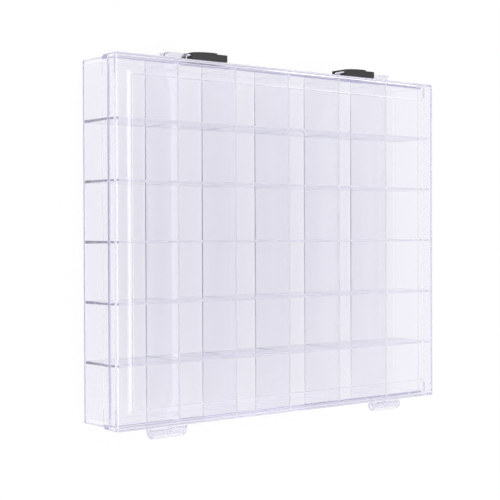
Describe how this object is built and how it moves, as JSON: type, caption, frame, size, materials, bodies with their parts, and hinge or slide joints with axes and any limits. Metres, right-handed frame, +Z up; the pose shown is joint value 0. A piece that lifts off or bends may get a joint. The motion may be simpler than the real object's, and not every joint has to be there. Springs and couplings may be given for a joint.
{
  "type": "embroidery thread box",
  "caption": "Shallow clear plastic box with a grid of open pockets, a lid hinged along the rear edge and dark sliding latch clips on the front edge.",
  "frame": {"origin": "centre of the tray's flat base", "axes": "+X to the right and +Y towards the hinges as seen from the latch side, +Z up through the lid; the lid lies closed"},
  "size_m": [0.272, 0.2382, 0.0404],
  "materials": {
    "tray_plastic": "clear polished polystyrene",
    "divider_plastic": "clear polished polystyrene",
    "lid_plastic": "clear polished polystyrene",
    "rail_plastic": "clear polished polystyrene",
    "latch_plastic": "dark charcoal, fine satin",
    "pin_plastic": "clear polished polystyrene"
  },
  "bodies": {
    "tray": {"tray": "tray_plastic", "column_divider_1": "divider_plastic", "column_divider_2": "divider_plastic", "column_divider_3": "divider_plastic", "column_divider_4": "divider_plastic", "column_divider_5": "divider_plastic", "row_divider_1": "divider_plastic", "row_divider_2": "divider_plastic", "row_divider_3": "divider_plastic", "row_divider_4": "divider_plastic", "row_divider_5": "divider_plastic", "left_latch_rail": "rail_plastic", "right_latch_rail": "rail_plastic", "left_hinge_pin": "pin_plastic", "right_hinge_pin": "pin_plastic"},
    "lid": {"lid": "lid_plastic", "left_lid_catch": "rail_plastic", "right_lid_catch": "rail_plastic"},
    "left_latch": {"left_latch": "latch_plastic"},
    "right_latch": {"right_latch": "latch_plastic"}
  },
  "joints": [
    {"name": "lid_hinge", "type": "hinge", "parent": "tray", "child": "lid", "pos_m": [0, 0.1172, 0.0311], "axis": [-1, 0, 0], "range_deg": [0, 180]},
    {"name": "left_latch_slide", "type": "slide", "parent": "tray", "child": "left_latch", "axis": [-1, 0, 0], "range_m": [0, 0.017]},
    {"name": "right_latch_slide", "type": "slide", "parent": "tray", "child": "right_latch", "axis": [1, 0, 0], "range_m": [0, 0.017]}
  ]
}
